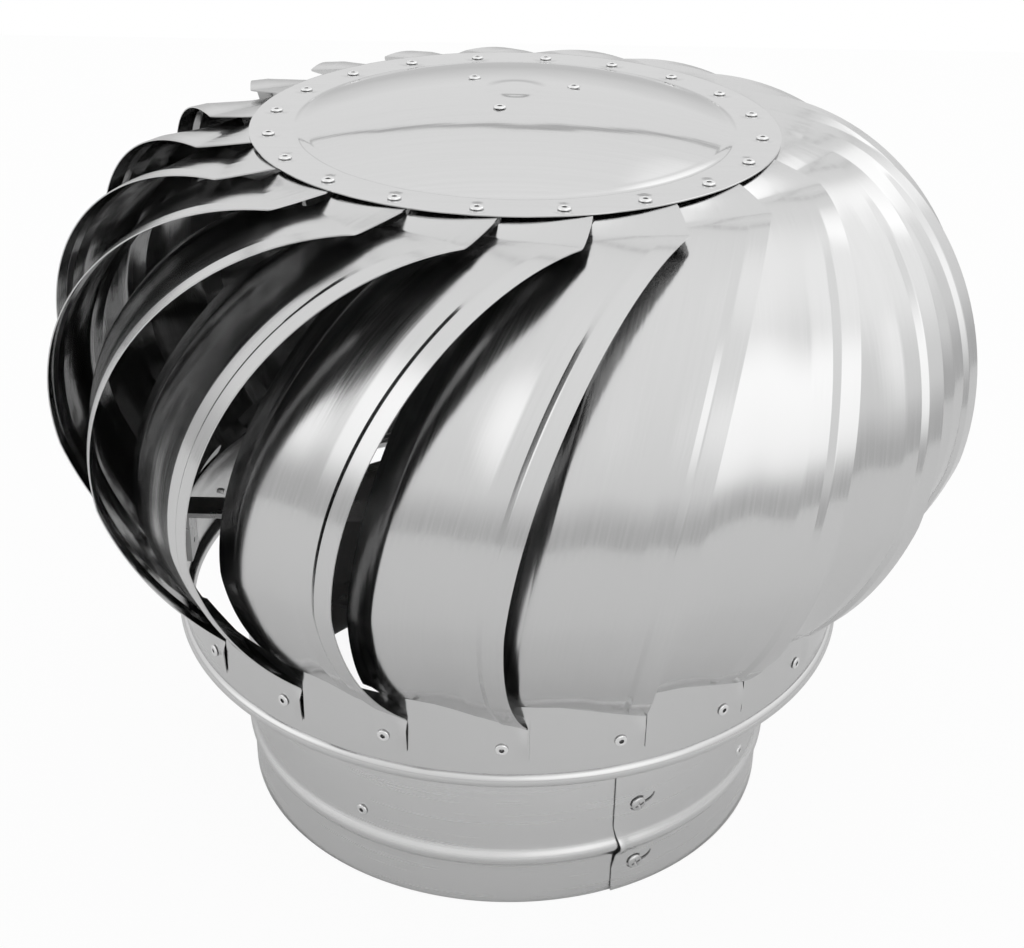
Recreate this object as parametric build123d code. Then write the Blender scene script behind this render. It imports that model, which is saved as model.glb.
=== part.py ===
from build123d import *
from math import asin, cos, degrees, radians, sin, tan
import os

# Roof turbine ventilator: a ball-shaped head of twenty rolled louvre blades spins on a fixed
# central shaft above a sheet-metal neck collar.  Millimetres, +Z up, the origin at the centre of
# the neck's lower edge.  Angles are degrees about +Z, counted anticlockwise from the front (-Y).

# ---- driving dimensions: neck collar ------------------------------------------------------------
duct_diameter = 300.0       # inside the collar: it clamps round a 300 mm spigot
neck_sheet = 0.8
neck_height = 117.0
seam_start = 22.5           # free edge of the lap's outer layer
seam_inner_end = 34.0       # free edge of the lap's inner layer, out of sight
seam_blend_end = 100.0      # the outer layer has closed onto the base circle here
seam_lift = 1.3             # how far the outer layer stands off at its free edge
swage_height = 31.0         # centre of the pressed stiffening rib
swage_width = 12.0
swage_depth = 2.6
slot_angle = 27.6
slot_heights = (16.7, 56.4)
slot_length = 11.0
screw_diameter = 4.0
screw_head_diameter = 8.0
screw_head_height = 2.4
screw_tip_inset = 0.1       # the thread-forming screws end just short of the bore
slot_clearance = 0.4

# ---- driving dimensions: lower ring -------------------------------------------------------------
ring_outer_radius = 185.2
ring_sheet = 0.8
ring_top = 155.0
bead_height = 8.5           # rolled edge at the foot of the ring
bead_bottom = 107.0
bead_overhang = 2.5         # of the roll beyond the wall
bead_sides = 6

# ---- driving dimensions: blades -----------------------------------------------------------------
blade_count = 20
blade_sheet = 0.6
head_radius = 242.7         # to the outer edges of the blades
head_equator = 245.2
blade_width = 76.5          # across the strip, square to its edges
hem_width = 9.0             # flat strip along each long edge
ramp_width = 6.5
tray_depth = 2.5            # the panel lies this far inside its two hems
roll_azimuth = 62.8         # direction of the roll's axis, seen from above
roll_dip = 7.4              # the strip runs down towards its inner edge by this angle
roll_radius = 126.0
roll_centre_height = 249.5
roll_start = 95.0           # the roll starts just past its top
edge_lean = 9.04            # lean of the strip's edges from the vertical plane
crease_height = 232.0       # end of the tight roll
crease_angle = 6.0
corner_reach = 89.5         # upper corner of the outer edge, measured from the spin axis
lower_overrun = 8.0         # degrees that the lower roll runs on inside the ring
upper_flats = 6             # the roll is laid out in flats
lower_flats = 2
waist_width = 42.0          # width of the strip that reaches the cap
waist_reach = 17.0          # how much further out the strip starts there
shoulder_reach = 76.0       # and how much further out at its inner edge
bend_lap = 1.2              # the bent top starts this far down the strip
tab_lead = 3.2              # right-hand end of the foot tab, ahead of the blade's edge
tab_bottom = 123.5
fold_height = 142.0         # of the leading edge, where its roll meets the ring
foot_margin = 1.0           # the foot's blank stands this far above the highest fold
foot_rivet_angle = -0.5
cap_rivet_angle = 28.34
tab_side_gap = 0.2          # degrees, half the gap between neighbouring tabs
tab_inner_radius = 113.0
cap_bend_angle = 24.2       # middle of the blade's bend at the cap's rim

# ---- driving dimensions: cap --------------------------------------------------------------------
cap_radius = 133.0
cap_sheet = 0.8
cap_flange_top = 381.0
step_outer_radius = 114.0
step_inner_radius = 106.0
step_rise = 1.5
crown_rise = 16.1           # of the crown above the step
crown_rings = 4             # the crown is spun in this many cones
boss_radius = 13.0
boss_rise = 1.2
cap_rivet_radius = 123.5
hub_rivet_radius = 30.0
hub_rivet_angle = -15.0
hub_rivet_count = 3

# ---- driving dimensions: rivets -----------------------------------------------------------------
rivet_diameter = 3.2
rivet_head_diameter = 6.6
rivet_head_height = 1.3
rivet_tail = 2.5
rivet_sides = 8             # rivets and their holes are drawn with few sides
hole_sides = 6
hole_clearance = 0.1        # on the radius
seat_gap = 0.15             # between parts that a rivet or screw draws together
foot_rivet_height = 131.0

# ---- driving dimensions: shaft, bearings and their supports ---------------------------------------
shaft_diameter = 10.0
shaft_bottom = 40.0
bearing_outer_diameter = 26.0
bearing_width = 8.0
race_wall = 2.2
seal_gap = 0.3
fit_gap = 0.02
upper_bearing_drop = 29.3   # of the upper bearing's underside, from the top of its housing
housing_wall = 3.0
housing_shoulder = 2.0      # radial width of the shoulder that rests on the outer race
housing_flange_radius = 38.0
housing_flange = 2.0
hub_length = 14.0           # of the lower bearing's housing below the spider
hub_lip = 1.5               # under the lower bearing's outer race
hub_flange_width = 4.0
collar_diameter = 20.0
collar_height = 8.0
shaft_nut_flats = 16.0
shaft_nut_height = 6.0
arm_width = 19.0
arm_thickness = 3.0
arm_count = 4
spider_top = 154.0
spider_foot_height = 32.0
bracket_top = 57.0
bracket_foot_height = 20.0
bracket_angle = -30.0
bracket_rivet_height = 45.7
bracket_boss_height = 40.0
bracket_boss_diameter = 20.0
spider_plate_radius = 30.0
bracket_plate_radius = 24.0

# ---- values that follow -------------------------------------------------------------------------
pitch = 360.0 / blade_count
neck_inner_radius = duct_diameter / 2
neck_outer_radius = neck_inner_radius + neck_sheet
ring_inner_radius = ring_outer_radius - ring_sheet
cap_underside = cap_flange_top - cap_sheet
cap_step_top = cap_flange_top + step_rise
tab_top = cap_underside - seat_gap
foot_inner_radius = ring_outer_radius + seat_gap
foot_outer_radius = foot_inner_radius + blade_sheet
hole_radius = rivet_diameter / 2 + hole_clearance
shaft_radius = shaft_diameter / 2
bearing_radius = bearing_outer_diameter / 2
housing_bore = bearing_radius + fit_gap
housing_outer_radius = bearing_radius + housing_wall


def polar(radius, angle, height):
    """A point at an angle from the front."""
    return Vector(radius * sin(radians(angle)), -radius * cos(radians(angle)), height)


def turned(part, angle):
    """The part turned about the spin axis."""
    return Rot(0, 0, angle) * part


def spun(points, start=0.0, sweep=360.0):
    """A solid of revolution from (radius, height) corners, starting at an angle from the front."""
    face = make_face(Polyline([(r, 0, z) for r, z in points], close=True))
    return Rot(0, 0, start - 90) * revolve(face, Axis.Z, sweep)


def tube(outer, inner, bottom, top):
    """A plain tube on the spin axis."""
    return spun([(inner, bottom), (outer, bottom), (outer, top), (inner, top)])


def rod(radius, bottom, top):
    """A plain rod on the spin axis."""
    return Pos(0, 0, bottom) * Cylinder(radius, top - bottom, align=(Align.CENTER, Align.CENTER, Align.MIN))


def hexagon_nut(across_flats, bore_radius, bottom, height):
    """A hexagon nut on the spin axis."""
    sketch = RegularPolygon(across_flats / 2, 6, major_radius=False) - Circle(bore_radius)
    return Pos(0, 0, bottom) * extrude(sketch, height)


def drill(radius, length):
    """A drill along +Z, centred on the origin."""
    return Pos(0, 0, -length / 2) * extrude(RegularPolygon(radius, hole_sides), length)


def front_drill(radius, height, reach_in, reach_out):
    """A drill that points at the axis through the front, between two radii."""
    return Pos(0, -(reach_in + reach_out) / 2, height) * Rot(90, 0, 0) * drill(radius, reach_out - reach_in)


def blind_rivet(grip):
    """A blind rivet: head above z = 0, shank and tail below."""
    head = extrude(RegularPolygon(rivet_head_diameter / 2, rivet_sides), rivet_head_height, taper=40)
    shank = extrude(RegularPolygon(rivet_diameter / 2, hole_sides), -grip - rivet_tail)
    return head + shank


def wall_rivet(seat_radius, height, angle, grip):
    """A rivet whose head sits on an upright wall, facing outwards."""
    return turned(Pos(0, -seat_radius, height) * Rot(90, 0, 0) * blind_rivet(grip), angle)


# ---- neck collar --------------------------------------------------------------------------------
def neck_outline(bulge, height):
    """Outline of the wrapped sheet at one height: a circle whose free end laps over its start."""

    def layer(radius):
        lap = ThreePointArc(
            polar(radius + seam_lift, seam_start, height),
            polar(radius + seam_lift * 0.42, (seam_start + seam_blend_end) / 2, height),
            polar(radius, seam_blend_end, height),
        )
        wrap_end = 360 + seam_inner_end
        wrap = ThreePointArc(
            polar(radius, seam_blend_end, height),
            polar(radius, (seam_blend_end + wrap_end) / 2, height),
            polar(radius, wrap_end, height),
        )
        return lap, wrap

    outer_lap, outer_wrap = layer(neck_outer_radius + bulge)
    inner_lap, inner_wrap = layer(neck_inner_radius + bulge)
    free_edge = Line(outer_lap @ 0, inner_lap @ 0)
    hidden_edge = Line(outer_wrap @ 1, inner_wrap @ 1)
    return Wire([outer_lap, outer_wrap, hidden_edge, inner_wrap, inner_lap, free_edge])


def neck_collar():
    half = swage_width / 2
    levels = [
        (0, 0),
        (swage_height - half, 0),
        (swage_height - half / 3, swage_depth),
        (swage_height + half / 3, swage_depth),
        (swage_height + half, 0),
        (neck_height, 0),
    ]
    sheet = Solid.make_loft([neck_outline(bulge, z) for z, bulge in levels], ruled=True)
    reach_in = neck_inner_radius - 5
    reach_out = neck_outer_radius + 5
    slot_radius = screw_diameter / 2 + slot_clearance
    slot = SlotOverall(slot_length, 2 * slot_radius)
    slot_shift = degrees((slot_length / 2 - slot_radius) / neck_outer_radius)
    outer_layer_only = tube(reach_out, neck_outer_radius + seat_gap / 2, 0, neck_height)
    slot_cutter = (Rot(90, 0, 0) * extrude(slot, reach_out)) & Pos(0, 0, -neck_height / 2) * outer_layer_only
    for height in slot_heights:
        sheet = sheet - turned(Pos(0, 0, height) * slot_cutter, slot_angle + slot_shift)
        screw_hole = front_drill(screw_diameter / 2 + hole_clearance, height, reach_in, reach_out)
        inner_layer_only = rod(neck_outer_radius + seat_gap / 2, 0, neck_height)
        sheet = sheet - (turned(screw_hole, slot_angle) & inner_layer_only)
    for angle in arm_angles(bracket_angle):
        sheet = sheet - turned(front_drill(hole_radius, bracket_rivet_height, reach_in, reach_out), angle)
    return sheet


def arm_angles(first):
    """The four directions of a cross."""
    return [first + 360.0 / arm_count * arm for arm in range(arm_count)]


def seam_seat_radius():
    """Outside of the lap's outer layer at the screws."""
    share = (slot_angle - seam_start) / (seam_blend_end - seam_start)
    return neck_outer_radius + seam_lift * (1 - share)


def seam_screws():
    """Pan-head screws that draw the lap tight."""
    seat = seam_seat_radius() + seat_gap
    tip = neck_inner_radius + screw_tip_inset
    shank = front_drill(screw_diameter / 2, 0, tip, seat)
    head = Pos(0, -seat, 0) * Rot(90, 0, 0) * Cone(
        screw_head_diameter / 2, screw_head_diameter / 3, screw_head_height,
        align=(Align.CENTER, Align.CENTER, Align.MIN))
    screw = shank + head
    return [turned(Pos(0, 0, height) * screw, slot_angle) for height in slot_heights]


# ---- fixed cross bracket and shaft --------------------------------------------------------------
def cross(top, foot_radius, foot_height, first_angle, plate_radius, centre_hole, rivet_height):
    """A cross of flat bars with turned-down feet that meet a round wall."""
    bar = Box(arm_width, foot_radius, arm_thickness, align=(Align.CENTER, Align.MAX, Align.MAX))
    foot = Box(arm_width, arm_thickness, foot_height, align=(Align.CENTER, Align.MIN, Align.MAX))
    arm = Pos(0, 0, top) * bar + Pos(0, -foot_radius, top) * foot
    arm = arm - front_drill(hole_radius, rivet_height, foot_radius - 3 * arm_thickness, foot_radius + 2)
    whole = rod(plate_radius, top - arm_thickness, top)
    for angle in arm_angles(first_angle):
        whole = whole + turned(arm, angle)
    return whole - rod(centre_hole, top - 2 * arm_thickness, top + arm_thickness)


def foot_face_radius(wall_radius):
    """How far out a flat foot reaches before its corners meet a round wall."""
    return ((wall_radius - seat_gap) ** 2 - (arm_width / 2) ** 2) ** 0.5


def cross_bracket():
    """The collar's fixed cross, with its boss welded on top."""
    face = foot_face_radius(neck_inner_radius)
    plate = cross(bracket_top, face, bracket_foot_height, bracket_angle,
                  bracket_plate_radius, shaft_radius + fit_gap, bracket_rivet_height)
    boss = tube(bracket_boss_diameter / 2, shaft_radius + fit_gap, bracket_top,
                bracket_top + bracket_boss_height)
    return plate + boss


def bracket_rivets():
    grip = neck_outer_radius - foot_face_radius(neck_inner_radius) + arm_thickness
    seats = []
    for angle in arm_angles(bracket_angle):
        seat = neck_outer_radius + seat_gap
        if seam_start < angle % 360 < seam_blend_end:
            share = (angle % 360 - seam_start) / (seam_blend_end - seam_start)
            seat = seat + seam_lift * (1 - share)
        seats.append(wall_rivet(seat, bracket_rivet_height, angle, grip))
    return seats


def crown_radius():
    """Radius of the cap's crown, from its chord and rise."""
    return (step_inner_radius ** 2 + crown_rise ** 2) / (2 * crown_rise)


def crown_height(radius):
    """Height of the crown's outside at a radius."""
    drop = crown_radius() - (crown_radius() ** 2 - radius ** 2) ** 0.5
    return cap_step_top + crown_rise - drop


crown_cone = (step_inner_radius - boss_radius - boss_rise) / (crown_rings - 1)
crown_sag = crown_cone ** 2 / (8 * crown_radius())
housing_top = crown_height(housing_flange_radius) - crown_sag - cap_sheet - seat_gap
top_bearing_height = housing_top - upper_bearing_drop
top_bearing_top = top_bearing_height + bearing_width
spider_underside = spider_top - arm_thickness
hub_bottom = spider_underside - hub_length
lower_bearing_height = hub_bottom + hub_lip


def shaft():
    """The fixed spindle: through the bracket, the lower bearing and the upper bearing."""
    top = top_bearing_top + shaft_nut_height + 3.0
    chamfer_size = 1.0
    return spun([(0, shaft_bottom), (shaft_radius - chamfer_size, shaft_bottom),
                 (shaft_radius, shaft_bottom + chamfer_size), (shaft_radius, top - chamfer_size),
                 (shaft_radius - chamfer_size, top), (0, top)])


# ---- bearings and what holds them on the shaft ---------------------------------------------------
def bearing_heights():
    """Undersides of the two sealed ball bearings."""
    return [lower_bearing_height, top_bearing_height]


def bearing_rings(outer, inner):
    """The same ring in both bearings."""
    return [tube(outer, inner, z, z + bearing_width) for z in bearing_heights()]


def bearing_outer_races():
    return bearing_rings(bearing_radius, bearing_radius - race_wall)


def bearing_inner_races():
    return bearing_rings(shaft_radius + fit_gap + race_wall, shaft_radius + fit_gap)


def bearing_seals():
    """Seals fixed in the outer races, just clear of the inner ones."""
    return bearing_rings(bearing_radius - race_wall - fit_gap,
                         shaft_radius + fit_gap + race_wall + seal_gap)


def shaft_collars():
    """Set collars: one carries the upper bearing, one holds the lower one down."""
    bottoms = [top_bearing_height - collar_height - fit_gap,
               lower_bearing_height + bearing_width + fit_gap]
    return [tube(collar_diameter / 2, shaft_radius + fit_gap, z, z + collar_height) for z in bottoms]


def shaft_nuts():
    """Nuts under the bracket, on its boss and on the upper bearing."""
    bottoms = [bracket_top - arm_thickness - shaft_nut_height - fit_gap,
               bracket_top + bracket_boss_height + fit_gap,
               top_bearing_top + fit_gap]
    return [hexagon_nut(shaft_nut_flats, shaft_radius + fit_gap, z, shaft_nut_height) for z in bottoms]


# ---- rotor: upper housing, spider and ring ------------------------------------------------------
def top_bearing_housing():
    """Flanged cup under the crown: its shoulder hangs the whole head on the upper bearing."""
    shoulder = housing_bore - housing_shoulder
    seat = top_bearing_top + fit_gap
    cup_bottom = top_bearing_height - 1.0
    cup = spun([
        (housing_bore, cup_bottom),
        (housing_outer_radius, cup_bottom),
        (housing_outer_radius, housing_top - housing_flange),
        (housing_flange_radius, housing_top - housing_flange),
        (housing_flange_radius, housing_top),
        (shoulder, housing_top),
        (shoulder, seat),
        (housing_bore, seat),
    ])
    hole = Pos(0, -hub_rivet_radius, housing_top) * drill(hole_radius, 3 * housing_flange)
    for n in range(hub_rivet_count):
        cup = cup - turned(hole, hub_rivet_angle + 360.0 / hub_rivet_count * n)
    return cup


def rotor_spider():
    """The cross that carries the ring, with the lower bearing's hub pressed into its middle."""
    face = foot_face_radius(ring_inner_radius)
    return cross(spider_top, face, spider_foot_height, foot_rivet_angle,
                 spider_plate_radius, housing_outer_radius + fit_gap, foot_rivet_height)


def lower_bearing_housing():
    """Flanged sleeve through the spider, with an inward lip under the outer race."""
    lip = housing_bore - housing_shoulder
    flange = housing_outer_radius + hub_flange_width
    return spun([
        (lip, hub_bottom),
        (housing_outer_radius, hub_bottom),
        (housing_outer_radius, spider_top),
        (flange, spider_top),
        (flange, spider_top + housing_flange),
        (housing_bore, spider_top + housing_flange),
        (housing_bore, lower_bearing_height),
        (lip, lower_bearing_height),
    ])


def lower_ring():
    """Upright ring that the blades' feet are riveted to, its lower edge rolled round a wire."""
    roll = bead_height / 2
    bead = RegularPolygon(roll, bead_sides, rotation=180 / bead_sides, major_radius=False)
    bead = Pos(ring_outer_radius + bead_overhang - roll, bead_bottom + roll) * bead
    wall_bottom = bead_bottom + bead_height / 2
    wall = Pos(ring_inner_radius + ring_sheet / 2, (wall_bottom + ring_top) / 2) * Rectangle(
        ring_sheet, ring_top - wall_bottom)
    section = Rot(90, 0, 0) * (bead + wall)
    ring = revolve(section, Axis.Z, 360)
    for k in range(blade_count):
        ring = ring - turned(front_drill(hole_radius, foot_rivet_height, ring_inner_radius - 3,
                                         ring_outer_radius + 3), foot_rivet_angle + pitch * k)
    return ring


def ring_rivets():
    """One rivet through each blade's foot; four of them also hold the spider."""
    flat = foot_face_radius(ring_inner_radius)
    rivets = []
    for k in range(blade_count):
        holds_spider = k % (blade_count // arm_count) == 0
        inner = flat - arm_thickness if holds_spider else ring_inner_radius
        rivets.append(wall_rivet(foot_outer_radius + seat_gap, foot_rivet_height,
                                 foot_rivet_angle + pitch * k, foot_outer_radius - inner))
    return rivets


# ---- rotor: cap ---------------------------------------------------------------------------------
def cap():
    """Cap pressed from one disc: flat flange, small step, domed crown and a centre boss."""

    def skin(drop):
        corners = [(cap_radius, cap_flange_top), (step_outer_radius, cap_flange_top)]
        for ring in range(crown_rings):
            radius = step_inner_radius - crown_cone * ring
            corners.append((radius, crown_height(radius)))
        boss_top = crown_height(boss_radius) + boss_rise
        corners.extend([(boss_radius, boss_top), (0, boss_top)])
        return [(radius, height - drop) for radius, height in corners]

    disc = spun(skin(0) + skin(cap_sheet)[::-1])
    rim_hole = Pos(0, -cap_rivet_radius, cap_flange_top) * drill(hole_radius, 6)
    for k in range(blade_count):
        disc = disc - turned(rim_hole, cap_rivet_angle + pitch * k)
    hub_hole = Pos(0, -hub_rivet_radius, crown_height(hub_rivet_radius)) * drill(hole_radius, 8)
    for n in range(hub_rivet_count):
        disc = disc - turned(hub_hole, hub_rivet_angle + 360.0 / hub_rivet_count * n)
    return disc


def cap_rivets():
    rivet = Pos(0, -cap_rivet_radius, cap_flange_top + seat_gap) * blind_rivet(cap_sheet + blade_sheet)
    return [turned(rivet, cap_rivet_angle + pitch * k) for k in range(blade_count)]


def hub_rivets():
    seat = crown_height(hub_rivet_radius - rivet_head_diameter / 2) + seat_gap / 3
    rivet = Pos(0, -hub_rivet_radius, seat) * blind_rivet(seat - housing_top + housing_flange)
    return [turned(rivet, hub_rivet_angle + 360.0 / hub_rivet_count * n) for n in range(hub_rivet_count)]


# ---- rotor: blades ------------------------------------------------------------------------------
def roll_centre_reach():
    """Distance of the roll's axis from the spin axis, set so that the edge meets the head radius."""
    edge_shift = roll_edge_offset()
    across = head_radius - edge_shift * cos(radians(roll_azimuth))
    return across / sin(radians(roll_azimuth)) - roll_radius


def roll_edge_offset():
    """How far along the roll's axis the outer edge lies at the equator."""
    return head_radius * cos(radians(roll_azimuth))


def blade_point(reach, height, inset):
    """A point of the strip: its reach and height on the roll's profile, and its distance from
    the outer edge."""
    azimuth = radians(roll_azimuth)
    along = roll_edge_offset() + (height - head_equator) * tan(radians(edge_lean)) - inset
    x = -reach * cos(azimuth) + along * sin(azimuth)
    y = -reach * sin(azimuth) - along * cos(azimuth)
    return Vector(x, y, height - inset * tan(radians(roll_dip)))


def knee():
    """Reach and height of the profile at the end of the tight roll, and its slope below the crease."""
    crease = -degrees(asin((roll_centre_height - crease_height) / roll_radius))
    reach = roll_centre_reach() + roll_radius * cos(radians(crease))
    return reach, crease_height, crease - crease_angle


def lower_roll():
    """Radius of the lower roll and the angle it turns through: it leaves the crease at its slope
    and meets the foot's circle at the fold."""
    reach, height, slope = knee()
    along = roll_edge_offset() + (fold_height - head_equator) * tan(radians(edge_lean))
    inwards = (foot_outer_radius ** 2 - along ** 2) ** 0.5 - reach
    downwards = fold_height - height
    chord = (inwards ** 2 + downwards ** 2) ** 0.5
    towards_centre = -(inwards * cos(radians(slope)) + downwards * sin(radians(slope)))
    radius = chord ** 2 / (2 * towards_centre)
    return radius, 2 * degrees(asin(chord / (2 * radius))) + lower_overrun


def roll_profile(depth, tray):
    """Corners of the roll's profile, from the cap down to inside the ring, at a depth below the
    hems' outer face.  The tray fades in over the second flat."""
    centre = roll_centre_reach()
    knee_reach, knee_height, first = knee()
    crease = first + crease_angle
    corners = []
    for flat in range(upper_flats):
        angle = radians(roll_start + (crease - roll_start) * flat / upper_flats)
        radius = roll_radius - depth - (tray if flat > 1 else 0.0)
        corners.append((centre + radius * cos(angle), roll_centre_height + radius * sin(angle)))
    lower_roll_radius, lower_turn = lower_roll()
    lower_reach = knee_reach - lower_roll_radius * cos(radians(first))
    lower_height = knee_height - lower_roll_radius * sin(radians(first))
    for flat in range(lower_flats + 1):
        angle = radians(first - lower_turn * flat / lower_flats)
        radius = lower_roll_radius - depth - tray
        corners.append((lower_reach + radius * cos(angle), lower_height + radius * sin(angle)))
    return corners


def ring_crossing(inset):
    """Height at which the strip's lower flats pass inside the foot's circle."""
    corners = [blade_point(reach, height, inset) for reach, height in roll_profile(0, 0)[upper_flats:]]
    flats = [Line(near, far) for near, far in zip(corners, corners[1:])]
    crossed = [flat for flat in flats if Vector((flat @ 1).X, (flat @ 1).Y, 0).length < foot_outer_radius][0]
    outside, inside = 0.0, 1.0
    for _ in range(20):
        middle = (outside + inside) / 2
        spot = crossed @ middle
        if Vector(spot.X, spot.Y, 0).length > foot_outer_radius:
            outside = middle
        else:
            inside = middle
    return (crossed @ outside).Z


def profile_height(reach, depth):
    """Height of the roll's upper flats at a reach."""
    corners = roll_profile(depth, 0.0)[:upper_flats]
    for (near, high), (far, low) in zip(corners, corners[1:]):
        if near <= reach <= far:
            return high + (low - high) * (reach - near) / (far - near)
    return corners[0][1]


def strip_section(inset, tray, near, far):
    """One cross-cut of the strip, between two depths below its outer face."""
    outer = [blade_point(r, z, inset) for r, z in roll_profile(near, tray)]
    inner = [blade_point(r, z, inset) for r, z in roll_profile(far, tray)]
    return Wire.make_polygon(outer + inner[::-1], close=True)


def blade_strip(near, far):
    """The rolled strip with its two hems and sunken panel, untrimmed."""
    stations = [
        (0, 0),
        (hem_width, 0),
        (hem_width + ramp_width, tray_depth),
        (blade_width - hem_width - ramp_width, tray_depth),
        (blade_width - hem_width, 0),
        (blade_width, 0),
    ]
    return Solid.make_loft([strip_section(i, t, near, far) for i, t in stations], ruled=True)


def top_trim():
    """Prism that takes off the strip's upper end, back to the line where it is bent to the cap."""
    corner = blade_point(corner_reach, profile_height(corner_reach, 0), 0)
    waist_start = corner_reach + waist_reach
    waist = blade_point(waist_start, profile_height(waist_start, 0), waist_width)
    shoulder_start = corner_reach + shoulder_reach
    shoulder = blade_point(shoulder_start, profile_height(shoulder_start, 0), blade_width)
    start = corner + (corner - waist) * 0.2
    end = shoulder + (shoulder - waist) * 0.2
    inwards = blade_point(0, 0, 0) - blade_point(head_radius, 0, 0)
    outline = [start, waist, end, end + inwards, start + inwards]
    flat = [Vector(p.X, p.Y, head_equator) for p in outline]
    face = make_face(Polyline(flat, close=True))
    return Pos(0, 0, roll_radius / 2) * extrude(face, roll_radius, dir=(0, 0, 1))


def bent_top():
    """The blade's top: bent up from the strip and laid flat under the cap's flange."""
    right = cap_bend_angle + pitch / 2 - tab_side_gap
    left = cap_bend_angle - pitch / 2 + tab_side_gap

    def on_strip(depth):
        start = corner_reach + bend_lap
        waist = start + waist_reach
        return (blade_point(start, profile_height(start, depth), 0),
                blade_point(waist, profile_height(waist, depth), waist_width))

    def flat(radius, height):
        return polar(radius, right, height), polar(radius, left, height)

    sections = []
    for upper, lower in ((on_strip(0), on_strip(blade_sheet)),
                         (flat(cap_radius, tab_top), flat(cap_radius, tab_top - blade_sheet)),
                         (flat(tab_inner_radius, tab_top), flat(tab_inner_radius, tab_top - blade_sheet))):
        sections.append(Wire.make_polygon([upper[0], upper[1], lower[1], lower[0]], close=True))
    return Solid.make_loft(sections, ruled=True)


def foot_tab():
    """The blade's foot: bent down and riveted round the ring."""
    left = tab_lead - pitch + 2 * tab_side_gap
    top = ring_crossing(blade_width) + foot_margin
    rise = top - ring_crossing(0)
    shell = spun([(foot_inner_radius, tab_bottom), (foot_outer_radius, tab_bottom),
                  (foot_outer_radius, top), (foot_inner_radius, top)],
                 left, pitch - 2 * tab_side_gap)
    return shell - blade_strip(blade_sheet / 2, rise)


def blade():
    """One louvre blade with its top and foot tabs and their rivet holes."""
    strip = blade_strip(0, blade_sheet) - top_trim()
    strip = strip - rod(foot_inner_radius, 0, (fold_height + crease_height) / 2)
    whole = strip + bent_top() + foot_tab()
    cap_drill = turned(Pos(0, -cap_rivet_radius, tab_top) * drill(hole_radius, 6), cap_rivet_angle)
    foot_drill = turned(front_drill(hole_radius, foot_rivet_height, ring_outer_radius - 3,
                                    foot_outer_radius + 3), foot_rivet_angle)
    return whole - cap_drill - foot_drill


# ---- every piece, in a node of its own ----------------------------------------------------------
def build_nodes():
    """Node name to its solid or group of solids."""
    nodes = {
        "neck_collar": [neck_collar()],
        "seam_screws": seam_screws(),
        "cross_bracket": [cross_bracket()],
        "bracket_rivets": bracket_rivets(),
        "shaft": [shaft()],
        "shaft_nuts": shaft_nuts(),
        "shaft_collars": shaft_collars(),
        "bearing_inner_races": bearing_inner_races(),
        "bearing_outer_races": bearing_outer_races(),
        "bearing_seals": bearing_seals(),
        "upper_bearing_housing": [top_bearing_housing()],
        "lower_bearing_housing": [lower_bearing_housing()],
        "rotor_spider": [rotor_spider()],
        "lower_ring": [lower_ring()],
        "ring_rivets": ring_rivets(),
        "cap": [cap()],
        "cap_rivets": cap_rivets(),
        "hub_rivets": hub_rivets(),
    }
    first_blade = blade()
    for k in range(blade_count):
        nodes[f"blade_{k + 1:02d}"] = [turned(first_blade, pitch * k)]
    return nodes


def solids_of(pieces):
    """Every separate solid in a list of pieces."""
    return [solid for piece in pieces for solid in piece.solids()]


os.makedirs("parts", exist_ok=True)
for name, pieces in build_nodes().items():
    solids = solids_of(pieces)
    shape = solids[0] if len(solids) == 1 else Compound(children=solids)
    export_step(shape, f"parts/{name}.step")
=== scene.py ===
from math import asin, atan2, cos, degrees, hypot, pi, radians, sin, sqrt, tan

import bmesh
import bpy
from mathutils import Matrix, Vector


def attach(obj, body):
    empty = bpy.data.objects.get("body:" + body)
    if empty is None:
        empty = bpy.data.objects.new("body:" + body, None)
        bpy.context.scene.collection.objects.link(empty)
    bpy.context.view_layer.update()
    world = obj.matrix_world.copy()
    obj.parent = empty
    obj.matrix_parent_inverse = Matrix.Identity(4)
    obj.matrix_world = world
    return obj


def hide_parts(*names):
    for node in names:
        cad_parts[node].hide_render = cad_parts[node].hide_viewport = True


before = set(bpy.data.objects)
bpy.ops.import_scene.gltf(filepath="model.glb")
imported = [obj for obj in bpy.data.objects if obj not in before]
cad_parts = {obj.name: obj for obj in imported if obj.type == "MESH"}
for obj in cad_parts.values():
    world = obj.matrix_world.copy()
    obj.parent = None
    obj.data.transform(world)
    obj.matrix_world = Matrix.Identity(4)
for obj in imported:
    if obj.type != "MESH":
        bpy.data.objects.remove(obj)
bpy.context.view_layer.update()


# ---- neck collar ---------------------------------------------------------------------------------
# The fixed base: one strip of thin stainless sheet rolled into a 300 mm collar that slips over the
# duct.  A stiffening bead is swaged into it, its ends lap at the front right, and the outer end has
# two keyhole slots so that the lap can be drawn tight.

MM = 0.001                     # every size is written in millimetres
collar_outer = 150.8
collar_sheet = 0.8
collar_height = 117.0
collar_ease = 0.2              # the sheet's upper and lower edges are eased by this much
lap_start = 22.5               # degrees from the front, free edge of the outer end
lap_end = 34.0                 # degrees, hidden edge of the inner end
lap_closed = 100.0             # degrees, where the outer end lies down on the circle
lap_lift = 1.3
swage_height = 31.0
swage_half_width = 7.0
swage_depth = 2.5
curl_width = 3.5               # degrees of free edge that spring up over the swage
curl_reach = 14.0              # and how far up and down the edge the spring reaches
curl_lift = 1.6
curl_step_back = 1.1           # degrees
keyhole_angle = 27.6
keyhole_heights = (16.7, 56.4)
keyhole_eye = 4.9              # radius of the keyhole's round end
keyhole_mouth = (3.4, 2.6)     # the eye opens into the tail beyond this, and between these
tail_start = (3.6, -0.4)
tail_reach, tail_hook = 6.6, 5.0
tail_sweep = 82                # degrees that the hooked tail turns through
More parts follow.
